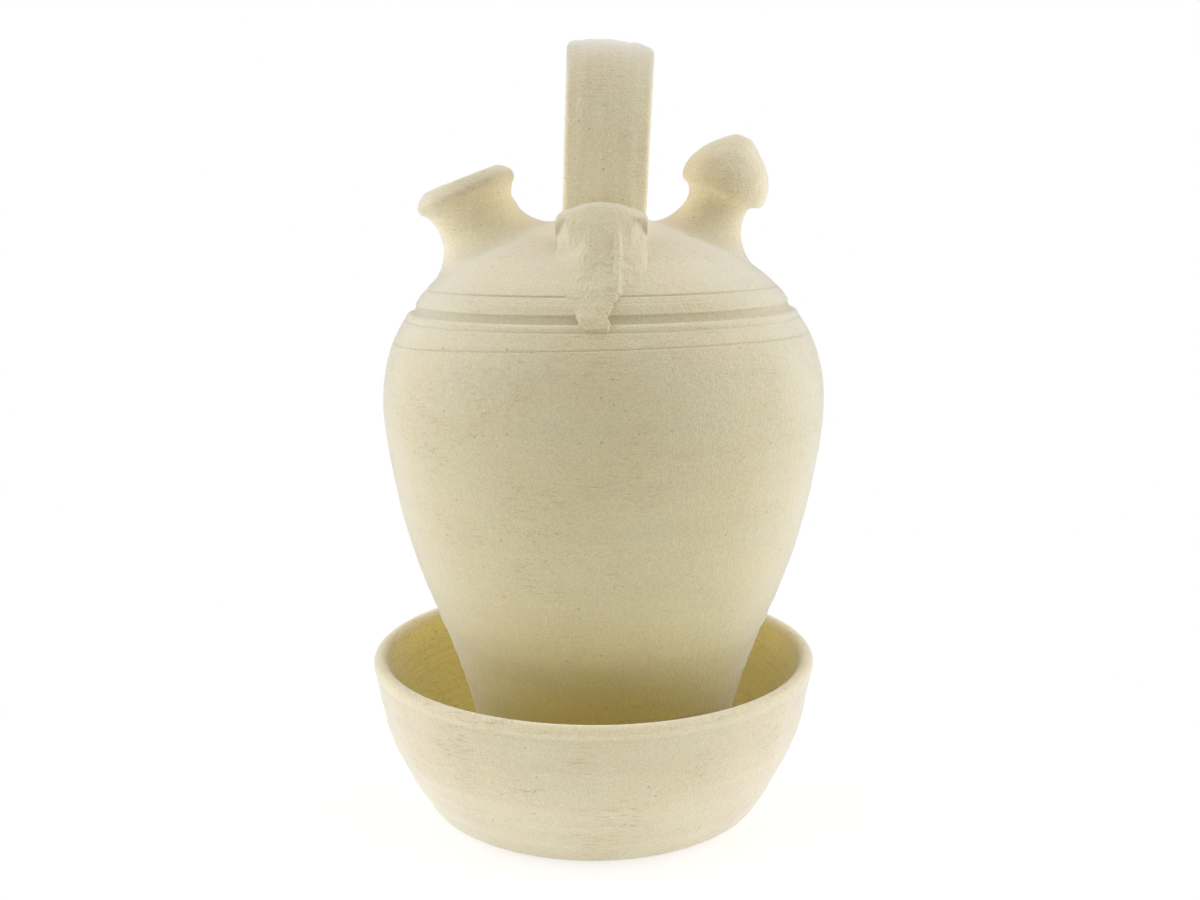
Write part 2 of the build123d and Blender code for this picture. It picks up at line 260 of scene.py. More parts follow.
def make_piece(name, node, points, kind="jug", poles=(), marks=None):
    """Mesh of a grid of points (rows, columns, millimetres), whose columns close on themselves. Faces
    are (i, j), (i, j+1), (i+1, j+1), (i+1, j), so they point outwards where the rows climb and the
    columns turn counterclockwise seen from above. Two poles close the first and the last row, and
    without them the rows close on themselves too. Marks are point attributes, by their names."""
    rows, columns = points.shape[:2]
    index = np.arange(rows * columns).reshape(rows, columns)
    if not poles:
        index = np.vstack([index, index[:1]])
    low, high = index[:-1], index[1:]
    faces = np.stack([low, np.roll(low, -1, 1), np.roll(high, -1, 1), high], -1).reshape(-1, 4).tolist()
    for end, pole in enumerate(poles):
        ring = index[-1] if end else index[0][::-1]
        centre = np.full(columns, rows * columns + end)
        faces += np.stack([ring, np.roll(ring, -1), centre], -1).tolist()
    places = np.concatenate([points.reshape(-1, 3), np.reshape(poles, (-1, 3))])
    piece = add_mesh(name, places, faces)
    piece.data.shade_smooth()
    for label, values in (marks or {}).items():
        layer = piece.data.attributes.new(label, "FLOAT", "POINT")
        padded = np.concatenate([np.broadcast_to(values, (rows, columns)).ravel(), np.zeros(len(poles))])
        layer.data.foreach_set("value", padded.astype(np.float32))
    piece.data.validate()
    piece.data.materials.append(finish_of(kind))
    body, slot = ("drip_dish", "dish_clay") if kind == "dish" else ("jug", "white_clay")
    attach(piece, body)
    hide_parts(node)
    return piece


# Materials


def linear(hex_colour):
    """Scene-linear colour of an sRGB hex value: c / 12.92 up to 0.04045, else ((c + 0.055) / 1.055)^2.4."""
    digits = hex_colour.lstrip("#")
    shares = [int(digits[i : i + 2], 16) / 255 for i in (0, 2, 4)]
    return (*[c / 12.92 if c <= 0.04045 else ((c + 0.055) / 1.055) ** 2.4 for c in shares], 1.0)


def add_node(tree, kind, inputs=None, **settings):
    """Adds a node with its settings, and links or sets each of its inputs. A node given as an input
    passes on its first enabled output."""
    node = tree.nodes.new("ShaderNode" + kind)
    for label, value in settings.items():
        setattr(node, label, value)
    for label, value in (inputs or {}).items():
        if isinstance(value, bpy.types.Node):
            value = next(output for output in value.outputs if output.enabled)
        if isinstance(value, bpy.types.NodeSocket):
            tree.links.new(value, node.inputs[label])
        else:
            node.inputs[label].default_value = value
    return node


def emptied(owner):
    """Clears the nodes of a material or a world, and returns what adds a node there."""
    owner.use_nodes = True
    owner.node_tree.nodes.clear()
    return partial(add_node, owner.node_tree)


def clay(name, light, warm, bounce_shade_colour, drag_marks, looks, lengthwise=False):
    """Unglazed white clay, thrown and wiped: chalky and matt, with soft blotches of two tones, faint
    wiping streaks, a fine grain that takes the shine off, a few dark pits, and short drag marks of a
    given strength. Streaks run level round a pot, or lengthwise on a strap, along its own map."""
    material = bpy.data.materials.new(name)
    add = emptied(material)
    place = add("TexCoord").outputs["Object"]
    # Blotches 45 mm across, where the slip dried unevenly, and a rosy or greenish tinge in patches
    blotch = add("TexNoise", {"Vector": place, "Scale": 1 / 0.045, "Detail": 3.0})
    tone = add("MapRange", {"Value": blotch, "From Min": 0.35, "From Max": 0.65})
    base = add("Mix", {"Factor": tone, "A": linear(light), "B": linear(warm)}, data_type="RGBA")
    moved = add("Mapping", {"Vector": place, "Location": (0.3, 0.1, 0.7),
                            "Scale": (1 / 0.034, 1 / 0.034, 1 / 0.016)})
    tinge = add("TexNoise", {"Vector": moved, "Scale": 1.0, "Detail": 4.0, "Roughness": 0.6})
    tinge = add("MapRange", {"Value": tinge, "From Min": 0.35, "From Max": 0.65})
    tinge = add("Mix", {"Factor": tinge, "A": (1.025, 0.992, 0.975, 1), "B": (0.990, 1.0, 0.985, 1)},
                data_type="RGBA")
    base = add("VectorMath", {0: base, 1: tinge}, operation="MULTIPLY")
    # Painted yellow bounce light and shade: the dish's hollow, and the jug's foot that stands in it, are
    # painted yellower, as light bounced between clay surfaces makes them, and the foot darker.
    # Painted light, paler, where bounce or side light falls: the necks, the strap's feet, the cap and the
    # dish's rim.
    for label, colour in (("yellow_bounce_shade", bounce_shade_colour), ("pale", looks.clay_painted_light)):
        share = add("Attribute", attribute_name=label).outputs["Fac"]
        base = add("Mix", {"Factor": share, "A": base, "B": linear(colour)}, data_type="RGBA")
    # Streaks of the wet hand or cloth, 3 to 6 mm across and many times as long
    if lengthwise:
        streak_place, stretch, contrast = add("UVMap", uv_map="strap"), (1 / 0.0030, 1 / 0.06, 1.0), 2.4
    else:
        streak_place, stretch, contrast = place, (1 / 0.09, 1 / 0.09, 1 / 0.0055), 1.0
    contrast *= looks.streaks
    mapped = add("Mapping", {"Vector": streak_place, "Scale": stretch})
    streak = add("TexNoise", {"Vector": mapped, "Scale": 1.0, "Detail": 5.0, "Roughness": 0.62})
    streak_tone = add("MapRange", {"Value": streak, "From Min": 0.3, "From Max": 0.7,
                                   "To Min": 1 - contrast, "To Max": 1 + contrast})
    # Grain of the clay's sand, drawn at 0.6 mm because a render can't show the real 0.3 mm
    grain = add("TexNoise", {"Vector": place, "Scale": 1 / 0.0006, "Detail": 1.0, "Roughness": 0.6})
    grain_tone = add("MapRange", {"Value": grain, "From Min": 0.25, "From Max": 0.75,
                                  "To Min": 0.87, "To Max": 1.10})
    # Short drag marks 5 mm long in patches, where the rib pulled grains of sand round the wall
    dragged = add("Mapping", {"Vector": place, "Scale": (1 / 0.0045, 1 / 0.0045, 1 / 0.0007)})
    drag = add("TexNoise", {"Vector": dragged, "Scale": 1.0, "Detail": 2.0})
    drag = add("MapRange", {"Value": drag, "From Min": 0.56, "From Max": 0.68})
    patch = add("TexNoise", {"Vector": place, "Scale": 1 / 0.022, "Detail": 1.0})
    patch = add("MapRange", {"Value": patch, "From Min": 0.45, "From Max": 0.62})
    drag = add("Math", {0: drag, 1: patch}, operation="MULTIPLY")
    # Pits under 1 mm wide in a third of the 4 mm cells, where lime or a straw burnt out
    cells = add("TexVoronoi", {"Vector": place, "Scale": 1 / 0.004, "Randomness": 1.0})
    pit = add("MapRange", {"Value": cells, "From Min": 0.05, "From Max": 0.12, "To Min": 1.0, "To Max": 0.0})
    chosen = add("SeparateColor", {"Color": cells.outputs["Color"]})
    rare = add("Math", {0: chosen, 1: 0.66}, operation="GREATER_THAN")
    pits = add("Math", {0: pit, 1: rare}, operation="MULTIPLY")
    shade = add("Math", {0: streak_tone, 1: grain_tone}, operation="MULTIPLY")
    toned = add("VectorMath", {0: base, "Scale": shade}, operation="SCALE")
    # Pits and drag marks are deeper in colour. The scored attribute paints shade: in the scored lines, the
    # groove, the dish's turning lines, the wad's notches and crack, and the strap's crown.
    scored = add("Attribute", attribute_name="scored").outputs["Fac"]
    dark = add("Math", {0: pits, 1: 0.42}, operation="MULTIPLY")
    dark = add("Math", {0: drag, 1: drag_marks, 2: dark}, operation="MULTIPLY_ADD")
    dark = add("Math", {0: scored, 1: dark}, operation="MAXIMUM")
    colour = add("Mix", {"Factor": dark, "A": toned, "B": linear(looks.clay_deep)}, data_type="RGBA")
    # Heights in millimetres: grain, a coarser sandy swell, streaks, drag marks and pits
    swell = add("TexNoise", {"Vector": place, "Scale": 1 / 0.0026, "Detail": 3.0, "Roughness": 0.6})
    grain_depth, streak_depth = looks.grain_depth / MM, looks.streak_depth / MM
    height = 0.0
    for source, depth in ((grain, grain_depth), (swell, 1.6 * grain_depth), (streak, streak_depth),
                          (drag, -0.10), (pits, -0.25)):
        height = add("Math", {0: source, 1: depth, 2: height}, operation="MULTIPLY_ADD")
    relief = add("Bump", {"Height": height, "Distance": MM, "Strength": 1.0})
    shader = add("BsdfPrincipled", {
        "Base Color": colour, "Roughness": 0.6, "Diffuse Roughness": 0.2, "IOR": 1.5, "Normal": relief,
        "Specular IOR Level": 0.5, "Sheen Weight": 1.0, "Sheen Roughness": 0.48})
    add("OutputMaterial", {"Surface": shader})
    return material


def finish_of(kind):
    """The material of that kind, made the first time that it is asked for."""
    looks = bpy.context.scene.botijo_looks
    label = FINISHES[kind]
    if label in bpy.data.materials:
        return bpy.data.materials[label]
    if kind == "dish":
        return clay(label, looks.dish_light, looks.dish_warm, looks.dish_bounce_shade, 0.26, looks)
    return clay(label, looks.clay_light, looks.clay_warm, looks.clay_bounce_shade, 0.15, looks, kind == "strap")


# The jug's body


def body_trace():
    """The jug's outline from the dome's crown down to its foot as a dense curve of radius and height,
    the length along it measured down from the dome's edge, and its outward normals."""
    flank = along_points(FLANK, 6000)
    angle = np.radians(np.linspace(DOME_EDGE_ANGLE, 0, 3000)[1:])
    dome = np.stack([DOME_RADIUS * np.sin(angle), DOME_CENTRE + DOME_RADIUS * np.cos(angle)], -1)
    curve = np.concatenate([flank, dome])
    length = measured(curve)
    down = length[len(flank) - 1] - length
    return down[::-1], curve[::-1], outward(curve)[::-1]


def on_outline(below):
    """Radius, height and the outward normal's two parts, at lengths below the dome's edge."""
    down, curve, normal = body_trace()
    return [np.interp(below, down, values) for values in (*curve.T, *normal.T)]


def band_height(below):
    """How far the scored lines, the roll, the groove and the cordon stand off the outline, in
    millimetres, by the length below the dome's edge."""
    sizes = bpy.context.scene.botijo_sizes
    line, groove = sizes.line_depth / MM, sizes.groove_depth / MM
    height = -line * bump(below, 0.0, 0.42) - 0.18 * line * bump(below, 3.1, 0.35)
    height += 0.32 * np.sin(np.pi * np.clip(below / 7.7, 0, 1)) ** 2
    stations = (7.5, 7.75, 8.0, 9.0, 10.2, 10.95, 11.3, 11.8)
    depths = (0.0, 0.50, 0.62, 0.82, 1.06, 1.12, 0.35, 0.0)
    height -= groove * np.interp(below, stations, depths)
    height += 0.28 * np.sin(np.pi * np.clip((below - 11.2) / 3.4, 0, 1)) ** 2
    height -= 0.5 * line * bump(below, LINE_BELOW_EDGE, 0.38)
    height -= 0.55 * line * bump(below, SEAM_BELOW_EDGE, 0.42)
    return height


def band_tilt(below, turn):
    """How far up the outline each ring is shifted: the bands climb a little towards +X, and the luted
    seam climbs more, and sags at both sides."""
    bands = plateau(below, -22, 0, 15, 55)
    seam = plateau(below, LINE_BELOW_EDGE + 0.1, SEAM_BELOW_EDGE, SEAM_BELOW_EDGE, 60)
    return bands * 1.1 * np.cos(turn) + seam * (1.5 * np.cos(turn) - 2.0 * np.cos(turn) ** 2)


def body_points(below, turn):
    """Points of the jug's skin: the outline at each length below the dome's edge, shifted by the
    bands' tilt, turned about the jug's axis, and moved along its normal by bands and finger rings."""
    below, turn = np.broadcast_arrays(below, turn)
    down = body_trace()[0]
    at = np.clip(below - band_tilt(below, turn), down[0], down[-1])
    radius, level, out, up = on_outline(at)
    rings = bpy.context.scene.botijo_sizes.ring_height / MM
    calm = eased(radius, 4, 30) * (1 - 0.6 * plateau(below, -4, 2, 22, 30))
    off = band_height(below)
    off += rings * calm * ripple(at, turn, 4, (23.0, 9.1, 5.3), (0.55, 0.35, 0.2))
    off += 2.2 * rings * bump(level, 58, 18) * ripple(at, turn, 9, (7.4, 4.3), (0.9, 0.4))
    # A ridge between two wiped rings above the dish's rim, and a scratch half way up on the right
    off += 0.14 * bump(level, 78, 2.4) - 0.26 * bump(level, 83, 2.2) - 0.22 * bump(level, 72.5, 2.6)
    off -= 0.12 * bump(level + 1.9 * np.cos(turn), 131, 0.5) * eased(np.cos(turn + 0.9), -0.2, 0.6)
    oval = 0.05 * np.cos(2 * turn + 0.7) - 0.14
    off += oval * eased(radius, 50, 70) * (1 - eased(-below, 0, 20))
    return round_axis(radius + off * out, turn, level + off * up)


def painted_line_shade(below):
    """How much painted shade a place of the bands gets inside a line, the groove or the seam, from 0 to 1."""
    lines = bump(below, 0, 0.5) + 0.6 * bump(below, LINE_BELOW_EDGE, 0.45)
    lines = lines + 0.5 * bump(below, SEAM_BELOW_EDGE, 0.5)
    return np.clip(0.20 * lines + 0.22 * plateau(below, 7.4, 7.9, 10.2, 11.3), 0, 1)


def yellow_bounce_by_height(level):
    """Painted yellow bounce light and shade on the jug's skin, by height: most at the foot, and a little
    above.
    """
    levels = (40, 64, 74, 86, 100, 125, 165, 187, 215)
    return np.interp(level, levels, (1.0, 0.84, 0.66, 0.50, 0.37, 0.26, 0.22, 0.1, 0.0))


def body_marks(points, start, below):
    """Marks of a part of the body, whose skin's rows begin at start: painted shade in its scored lines,
    groove and seam, and its painted yellow bounce light and shade.
    """
    scored = np.zeros(points.shape[:2])
    scored[start : start + len(below)] = painted_line_shade(below)
    return {"scored": scored, "yellow_bounce_shade": yellow_bounce_by_height(points[..., 2])}


def arc_rows(centre, radius, start, end, count):
    """Points of a circle's arc as radius and height, between two angles in degrees from +R."""
    angle = np.radians(np.linspace(start, end, count))
    return np.stack([centre[0] + radius * np.cos(angle), centre[1] + radius * np.sin(angle)], -1)


def spun(outline, turn):
    """An outline of radius and height turned about the jug's axis."""
    return round_axis(outline[:, :1], turn, outline[:, 1:])


def across_wall(seam):
    """The ring where a skin's edge ring comes out inside, after 0.6 mm less than the wall."""
    axis = np.array([JUG_X, 0.0])
    inward = seam[:, :2] - axis
    rim = seam.copy()
    rim[:, :2] = axis + inward * (1 - (WALL - 0.6) / np.linalg.norm(inward, axis=1, keepdims=True))
    return rim[None]


def make_belly_points(columns):
    """Rows of the belly: base, rounded foot, flank up to the seam, across the wall, and down inside."""
    turn = turn_angles(columns)
    base = np.array([(12.0, JUG_FOOT), (28.0, JUG_FOOT), (40.0, JUG_FOOT)])
    foot = arc_rows((FOOT_RADIUS - FOOT_ROUND, JUG_FOOT + FOOT_ROUND), FOOT_ROUND, -90, -8, 8)
    near_seam = SEAM_BELOW_EDGE + 3.0
    coarse = np.linspace(body_trace()[0][-1], near_seam, 150)
    fine = np.linspace(near_seam, SEAM_BELOW_EDGE, 16)[1:]
    below = np.concatenate([coarse, fine])[:, None]
    skin = body_points(below, turn)
    corner_level = CHAMBER_FLOOR + CHAMBER_ROUND
    wall = along_points(FLANK, 600)
    wall = wall[(wall[:, 1] > corner_level + 3) & (wall[:, 1] < CHAMBER_TOP)] - (WALL, 0)
    wall = wall[::-1][:: len(wall) // 46]
    corner = arc_rows((CHAMBER_CORNER, corner_level), CHAMBER_ROUND, -5, -90, 10)
    inner = np.concatenate([wall, corner, [(20.0, CHAMBER_FLOOR), (8.0, CHAMBER_FLOOR)]])
    level = inner[:, 1:]
    wobble = 0.35 * ripple(level, turn, 21, (8.0, 13.0), (0.6, 0.4)) * eased(level, 20, 40)
    inside = spun(inner, turn)
    inside[..., 0] += wobble * np.cos(turn)
    inside[..., 1] += wobble * np.sin(turn)
    points = np.concatenate([spun(base, turn), spun(foot, turn), skin, across_wall(skin[-1]), inside])
    return points, body_marks(points, len(base) + len(foot), below)


def make_shoulder_points(columns):
    """Rows of the shoulder: the skin from the seam over the bands and the dome, the even wall's inner
    face from the crown back down, and across the wall at the seam."""
    turn = turn_angles(columns)
    bands = np.arange(SEAM_BELOW_EDGE, -1.2, -0.2)
    dome = np.linspace(-1.4, body_trace()[0][0] + 4.0, 52)
    below = np.concatenate([bands, dome])[:, None]
    skin = body_points(below, turn)
    angle = np.radians(np.linspace(2.0, DOME_EDGE_ANGLE, 40))
    radius = DOME_RADIUS - WALL
    inner = np.stack([radius * np.sin(angle), DOME_CENTRE + radius * np.cos(angle)], -1)
    points = np.concatenate([skin, spun(inner, turn), across_wall(skin[0])])
    return points, body_marks(points, 0, below)


def pierce(piece, seats):
    """Cuts a round hole through a piece along the axis of each neck that stands on it."""
    sides = 96
    turn = turn_angles(sides)
    ring = np.arange(sides)
    walls = np.stack([ring, (ring + 1) % sides, sides + (ring + 1) % sides, sides + ring], -1)
    faces = [*walls.tolist(), ring[::-1].tolist(), (sides + ring).tolist()]
    for seat in seats:
        radius = np.full(sides, seat["hole"])
        ends = [placed_neck(seat, radius, np.full(sides, along), turn) for along in (-16.0, 12.0)]
        tool = add_mesh("hole", np.concatenate(ends), faces)
        cut = piece.modifiers.new("hole", "BOOLEAN")
        cut.operation, cut.solver, cut.object = "DIFFERENCE", "EXACT", tool
        bpy.context.view_layer.update()
        result = bpy.data.meshes.new_from_object(piece.evaluated_get(bpy.context.evaluated_depsgraph_get()))
        piece.modifiers.clear()
        result.name = piece.data.name + "_pierced"
        old, piece.data = piece.data, result
        # The cut leaves a few faces without area, which go when points under 2 microns apart are merged
        shell = bmesh.new()
        shell.from_mesh(result)
        bmesh.ops.remove_doubles(shell, verts=shell.verts, dist=2e-6)
        shell.to_mesh(result)
        shell.free()
        bpy.data.meshes.remove(old)
        bpy.data.meshes.remove(tool.data)


# The necks


def seat_frame(seat):
    """Origin of a neck on the dome, its two cross directions and its axis."""
    place, lean = math.radians(seat["place"]), math.radians(seat["lean"])
    origin = (JUG_X + DOME_RADIUS * math.sin(place), 0.0, DOME_CENTRE + DOME_RADIUS * math.cos(place))
    axis = np.array([math.sin(lean), 0.0, math.cos(lean)])
    across = np.array([math.cos(lean), 0.0, -math.sin(lean)])
    return np.array(origin), across, np.array([0.0, 1.0, 0.0]), axis


def placed_neck(seat, radius, height, turn):
    """Points of a neck from radius, height and turn about its own axis."""
    origin, across, deep, axis = seat_frame(seat)
    ring = radius[..., None] * (np.cos(turn)[..., None] * across + np.sin(turn)[..., None] * deep)
    return origin + ring + height[..., None] * axis


def on_sphere(seat, radius, turn, depth):
    """Height along a neck's axis at which the line at a radius and turn meets the dome, taken a depth
    under its skin: the larger root of |origin + radius e + t axis - centre| = R - depth."""
    start = placed_neck(seat, radius, 0 * radius, turn) - np.array([JUG_X, 0.0, DOME_CENTRE])
    along = start @ seat_frame(seat)[3]
    return -along + np.sqrt(along**2 - (start**2).sum(-1) + (DOME_RADIUS - depth) ** 2)


def neck_points(seat, upper, columns):
    """A neck as a closed ring of rows. The foot is a Hermite curve in each half plane, from a landing
    ring on the dome, which it meets at a crease, up to the upright waist: with h the cubic weights,
    P = h00 landing + h10 m0 + h01 waist + h11 m1. Over the waist come the given rows, then the bore
    down to a skin just under the dome, which leads back to the landing."""
    turn = turn_angles(columns)
    waist_radius, waist_level = upper[0]
    landing = np.full(columns, seat["landing"]) + 0.5 * np.cos(2 * turn + 1.1)
    inner, level, outer = [on_sphere(seat, landing + aside, turn, LANDING_DEPTH) for aside in (-0.5, 0, 0.5)]
    angle = np.arctan(inner - outer) + math.radians(NECK_CREASE)
    reach = np.hypot(landing - waist_radius, waist_level - level)
    share = np.linspace(0, 1, FOOT_ROWS)[:, None]
    h00, h10 = 2 * share**3 - 3 * share**2 + 1, share**3 - 2 * share**2 + share
    h01, h11 = -2 * share**3 + 3 * share**2, share**3 - share**2
    # The curve's pull at its two ends, m0 and m1, is a little less than the way between them
    leave, arrive = 0.95 * reach, 0.9 * reach
    radius = h00 * landing + h01 * waist_radius - h10 * leave * np.cos(angle)
    height = h00 * level + h10 * leave * np.sin(angle) + h01 * waist_level + h11 * arrive
    bore = np.full(columns, seat["bore"])
    rings = [bore, 0.5 * (bore + landing), landing - 0.8]
    hidden = [on_sphere(seat, ring, turn, depth) for ring, depth in zip(rings, HIDDEN_DEPTHS)]
    down_share = np.linspace(0, 1, BORE_ROWS)[1:-1, None]
    top_radius, top_level = upper[-1]
    bore_radius = top_radius + (bore - top_radius) * eased(down_share, 0, 1)
    bore_height = top_level + (hidden[0] - top_level) * down_share
    radius = np.concatenate([radius, np.repeat(upper[1:, :1], columns, 1), bore_radius, rings])
    height = np.concatenate([height, np.repeat(upper[1:, 1:], columns, 1), bore_height, hidden])
    return radius, height, np.broadcast_to(turn, radius.shape)


def askew(radius, height, turn, degrees, low, high, shift=0.0):
    """Turns what is above a height towards the neck's +X side and shifts it there, by an angle and a
    shift that grow from low to high."""
    angle = math.radians(degrees) * eased(height, low, high)
    aside = radius * np.cos(turn) + shift * eased(height, 3, high)
    over, depth = height - high, radius * np.sin(turn)
    aside, over = aside * np.cos(angle) + over * np.sin(angle), over * np.cos(angle) - aside * np.sin(angle)
    return np.hypot(aside, depth), over + high, np.arctan2(depth, aside)


# The handle's strap


def strap_points(columns, rows):
    """The strap: a rounded section |a|^6.5 + |b|^6.5 = 1, crowned outside, carried along two legs and a
    half ring. It is 31 mm wide at the legs and 33 at the top, twisted and leaned a little, flared where
    it meets the dome, and ridged lengthwise by the fingers that pulled it. Returns the points, and the
    lengths across and along the strap that its own map is made of."""
    reach, spring, draw = STRAP["reach"], STRAP["spring"], STRAP["foot_draw"]
    leg = spring - STRAP["foot_level"]
    bend = (leg**2 + draw**2) / (2 * draw)
    leg_length, arch_length = bend * math.asin(leg / bend), math.pi * reach
    along = np.linspace(0, leg_length + arch_length + leg_length, rows)
    first = along < leg_length
    last = along > leg_length + arch_length
    from_spring = np.where(first, leg_length - along, along - leg_length - arch_length)
    drop = np.where(first | last, from_spring / bend, 0)
    round_angle = np.clip((along - leg_length) / reach, 0, math.pi)
    side = np.where(last, 1.0, -1.0)
    y = np.where(first | last, side * (reach - bend * (1 - np.cos(drop))), -reach * np.cos(round_angle))
    z = np.where(first | last, spring - bend * np.sin(drop), spring + reach * np.sin(round_angle))
    heading = np.where(first, -drop, np.where(last, math.pi + drop, round_angle))[:, None]
    out_y, out_z = -np.cos(heading), np.sin(heading)
    along, y, z = along[:, None], y[:, None], z[:, None]
    # The columns run clockwise, so that the faces point outwards
    turn = turn_angles(columns)[::-1]
    rise = np.clip((z - 243) / 60, 0, 1)
    width = 15.5 + 0.25 * rise + 0.85 * rise**4
    thick = STRAP["thickness"] / 2
    power = 2 / 6.5
    across = width * np.sign(np.cos(turn)) * np.abs(np.cos(turn)) ** power
    off = thick * np.sign(np.sin(turn)) * np.abs(np.sin(turn)) ** power
    crown = (across / width) ** 2
    off = np.where(off > 0, off - 1.7 * crown, off + 0.2 * (1 - crown))
    # Finger ridges: two trains of waves that wander, and a soft field, faded out at the two edges
    ridges = 0.5 * (1 + np.tanh(6 * (1 - np.abs(across) / width - 0.06)))
    wavelet = np.sin(2 * np.pi * across / 8.3 + 0.9 * np.sin(along / 31)) * 0.10
    wavelet += np.sin(2 * np.pi * across / 4.9 + 1.7 + 0.7 * np.sin(along / 19)) * 0.06
    wavelet += 0.16 * wander(across, along * 0.35, 31, 9.0)
    off = off + np.sign(off) * ridges * wavelet
    across = across + 0.12 * wander(along + 0 * across, 8.0 * np.sign(across), 33, 24.0)
    twist = np.radians(STRAP["twist"]) * rise**2
    points_x = across * np.cos(twist)
    points_y = y + off * out_y
    points_z = z + off * out_z - across * np.sin(twist)
    dome = DOME_CENTRE + np.sqrt(DOME_RADIUS**2 - points_y**2 - np.clip(points_x, -20, 20) ** 2)
    spread = 2.6 * np.exp(-np.clip(points_z - dome, 0, None) / 1.5)
    points_x = points_x + across / width * spread * 0.5
    points_y = points_y + off / thick * spread * out_y
    lean = math.radians(STRAP["lean"])
    high = points_z - STRAP["hinge"]
    x = JUG_X + 0.1 + points_x * math.cos(lean) + high * math.sin(lean)
    level = STRAP["hinge"] + high * math.cos(lean) - points_x * math.sin(lean)
    return np.stack([x, points_y, level], -1), across, np.broadcast_to(along, across.shape)


# The wads at the handle's roots


def wad_face(x, below, left, right, left_height, middle, right_height, ridge):
    """Height of a wad's face. With t the share of the way from an edge to the middle, the crest is an
    arch, middle - (middle - edge) (1 - t)^2.2, whose ends stand proud and drop in a notch; lower down
    the flanks are a soft S, t^2 (3 - 2 t), with a step to a flat plate at a ridge that a thumb raised."""
    centre = -1.5
    share = np.clip(np.where(x < centre, (x - left) / (centre - left), (right - x) / (right - centre)), 0, 1)
    edge = np.where(x < centre, left_height, right_height)
    arch = middle - (middle - edge) * (1 - share) ** CREST_POWER
    flank = left_height + (middle - left_height) * eased(share, 0, 1)
    level = np.clip((right - x) / np.maximum(right - ridge, 1), 0, 1)
    plate = right_height + (middle - right_height) * 0.76 * level
    step = eased(x, ridge + 1.5, ridge - 0.6)
    low = np.where(x < centre, flank, plate + (middle - plate) * step)
    low = low + 0.18 * bump(x, ridge - 0.5, 0.8) * bump(below, -13, 10)
    height = arch + (low - arch) * eased(below, -31, -20)
    # The crest's lip drops at once at its two ends, and ever more gently towards the middle
    foot = CREST_DROP[0] + 12 * eased(share, 0.06, 0.36)
    height = height + CREST_LIP * (1 - share) ** CREST_POWER * eased(below, foot, CREST_DROP[1])
    # The thumb's groove: a soft left bank and a steeper right one under the ridge
    across = x - (ridge - 7.6)
    bowl = np.where(across < 0, eased(across, -6.2, 0.6), eased(across, 7.8, 5.0))
    return height - 1.35 * bump(below, -16.5, 10.5) * bowl


def wad_points(turned):
    """A wad of clay over one foot of the strap, as a height over the jug's plain outline: a face, side
    walls down to the skin and a skirt under it. Its lower end is ragged, where fingers tore it off."""
    first, last = WAD[0, 0], WAD[-1, 0]
    below = first + (last + 0.8 - first) * np.linspace(0, 1, 230)[:, None]
    left, right, left_height, middle, right_height, ridge, lean = [
        through(WAD[:, 0], column, below) for column in WAD.T[1:]]
    u = np.linspace(-1, 1, 171)[None, :]
    face, wall, skirt = [np.clip((np.abs(u) - low) / (high - low), 0, 1)
                         for low, high in ((0, 0.86), (0.86, 0.96), (0.96, 1.0))]
    rough = eased(below, -5, 3)
    ragged = rough * (0.30 * wander(below, 5.0 * np.sign(u), 57 + turned, 3.0)
                      + 0.20 * wander(below, 9.0 * np.sign(u), 67 + turned, 1.2))
    x = 0.5 * (left + right) + np.sign(u) * face * 0.5 * (right - left) + ragged * eased(face, 0.5, 1.0)
    height = wad_face(x, below, left, right, left_height, middle, right_height, ridge)
    corner = eased(face, 0.93, 1.0)
    edge_height = np.where(u < 0, left_height, right_height) + CREST_LIP * eased(below, *CREST_DROP)
    height = height - corner * np.clip(0.14 * edge_height, 0.0, 0.9)
    # Where a flank melts into the dome nothing breaks its surface
    melted = 1 - (u < 0) * eased(face, 0.45, 0.75) * plateau(below, -24, -20, 3, 7)
    lumps = 0.10 * wander(x, below, 51 + turned, 5.5) + 0.05 * wander(x, below, 52 + turned, 2.0)
    lumps = lumps * (1 - 0.55 * eased(x, ridge, ridge + 3))
    patch = bump(x, 2.4, 2.6) * bump(below, -1.5, 2.8)
    tear = 0.13 * wander(x + below, 2 * below, 53 + turned, 1.3) * (0.15 * rough + patch)
    streaks = 0.05 * wander(x, 0.2 * below, 54 + turned, 1.6) * (1 - rough)
    relief = lumps * (0.7 + 0.2 * rough) + tear + streaks
    height = height + relief * (0.35 + 0.65 * (1 - corner)) * melted
    # Painted shade in the notches under the crest's ends and in the crack down its left side
    notch = bump(below, -31.9, 1.0) * np.where(u < 0, eased(face, 0.66, 0.9), eased(face, 0.55, 0.85))
    crack = (u < 0) * eased(face, 0.985, 1.0) * bump(below, -28.5, 3.4)
    notch_shade = np.clip(0.55 * notch + 0.6 * crack, 0, 1)
    height = height * (1 - wall) - 0.15 * wall - 1.3 * skirt - 2.8 * eased(below, last - 0.6, last + 0.8)
    x = x + np.sign(u) * (wall * (lean + 0.25) - 0.15 * corner + 0.4 * skirt)
    radius, level, out, up = on_outline(below)
    return x, radius + height * out, level + height * up, notch_shade


def wad_place(x, ring, level, turned):
    """The wad's points: each stands at its own distance across from the jug's front line, at a
    distance from the axis; the rear wad is turned half round."""
    y = -np.sqrt(np.clip(ring**2 - x**2, 1, None))
    points = np.stack([x, y, level], -1)
    if turned:
        points[..., :2] *= -1
    points[..., 0] += JUG_X
    return points


def under_ring(ring, level):
    """The wad's hidden underside, as distance from the axis and height: its edges' own line."""
    share = np.linspace(1, 0, ring.shape[1])
    return [edges[:, :1] * (1 - share) + edges[:, -1:] * share for edges in (ring, level)]


# The dish


